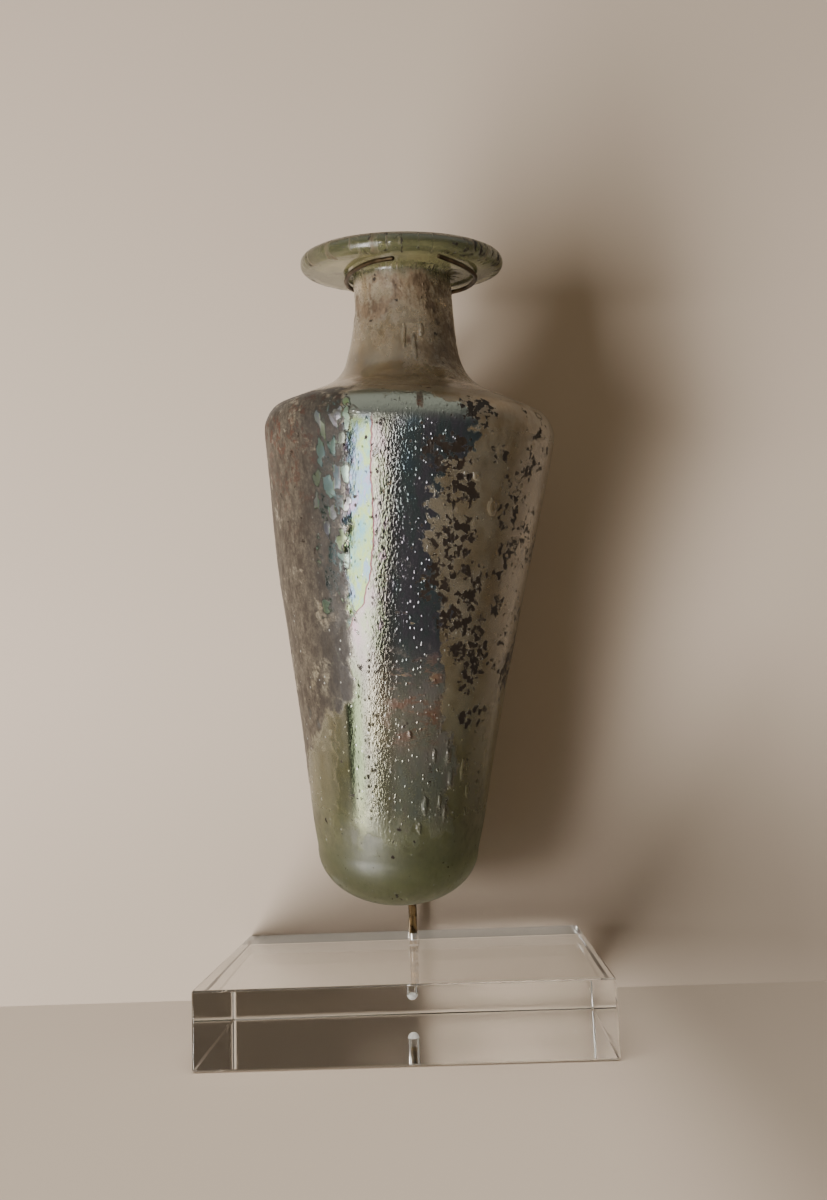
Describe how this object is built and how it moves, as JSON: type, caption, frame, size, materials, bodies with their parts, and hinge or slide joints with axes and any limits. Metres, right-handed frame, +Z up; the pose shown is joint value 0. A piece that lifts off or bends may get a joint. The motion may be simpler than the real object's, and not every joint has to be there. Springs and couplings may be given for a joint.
{
  "type": "ancient glass perfume flask on a museum mount",
  "caption": "Tall tapering blown-glass flask with a short neck and a wide flat rim, hung in a brass wire claw on a rod that stands in a clear acrylic block.",
  "frame": {"origin": "middle of the acrylic block's underside", "axes": "+Z up, -Y towards the viewer's side where the claw is open, +X to the viewer's right"},
  "size_m": [0.1016, 0.088, 0.2177],
  "materials": {
    "weathered_glass": "pale green blown glass with brown soil film and peeling silvery iridescent patina",
    "clear_acrylic": "polished clear acrylic",
    "rod_brass": "darkened brass rod, satin",
    "claw_brass": "dark toned brass wire, satin"
  },
  "bodies": {
    "root": {"flask": "weathered_glass", "acrylic_block": "clear_acrylic", "support_rod": "rod_brass", "neck_claw": "claw_brass"}
  },
  "joints": []
}
